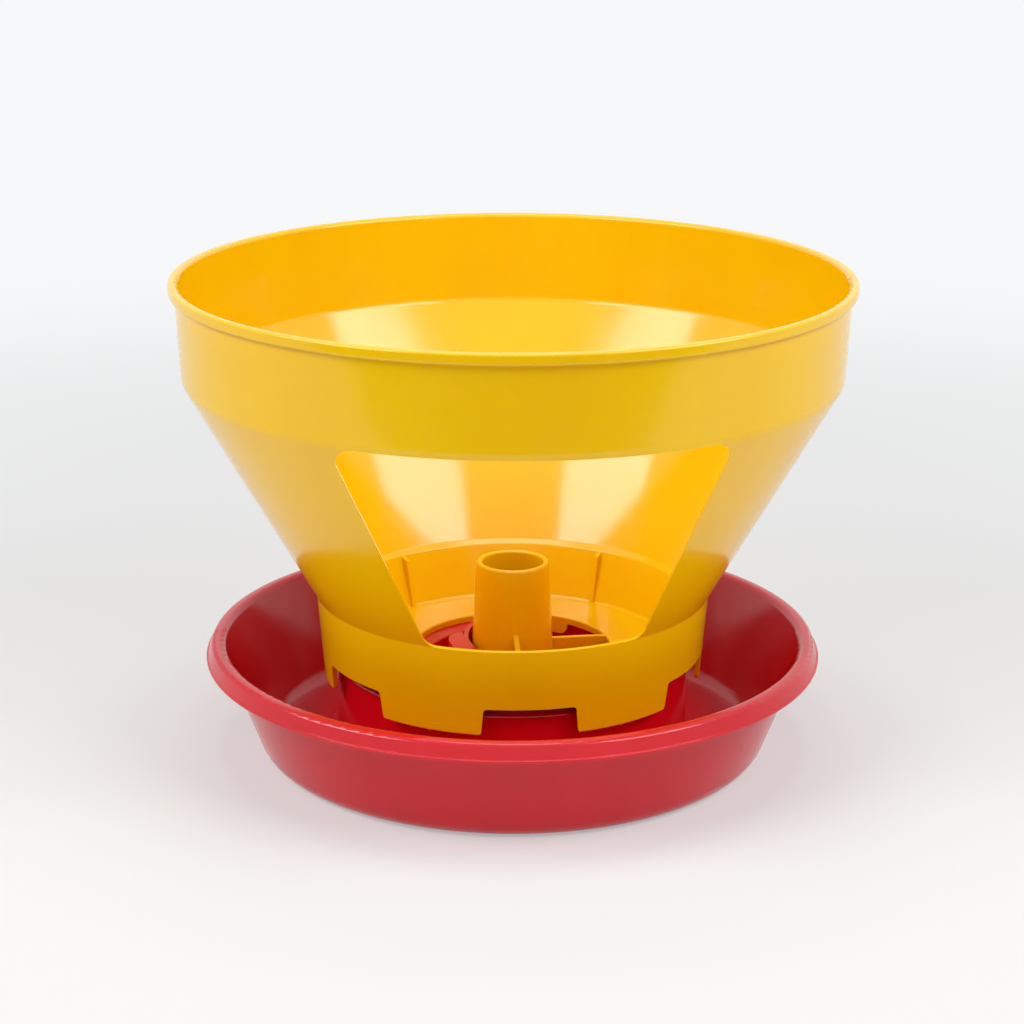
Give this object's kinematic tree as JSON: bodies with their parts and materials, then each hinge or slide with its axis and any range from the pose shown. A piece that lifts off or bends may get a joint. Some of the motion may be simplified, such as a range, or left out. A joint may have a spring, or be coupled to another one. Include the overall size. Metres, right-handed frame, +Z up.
{
  "type": "poultry feeder",
  "caption": "Round poultry feeder: a flared hopper with an open front sits on the raised middle of a wide, shallow feeding pan.",
  "frame": {"origin": "centre of the feeder on the ground, under the pan", "axes": "+Z up along the hopper's axis, -Y towards the open front, +X towards the right seen from the front"},
  "size_m": [0.3456, 0.3455, 0.2504],
  "materials": {
    "yellow_plastic": "gloss",
    "red_plastic": "gloss"
  },
  "bodies": {
    "root": {"hopper": "yellow_plastic", "pan": "red_plastic"}
  },
  "joints": []
}
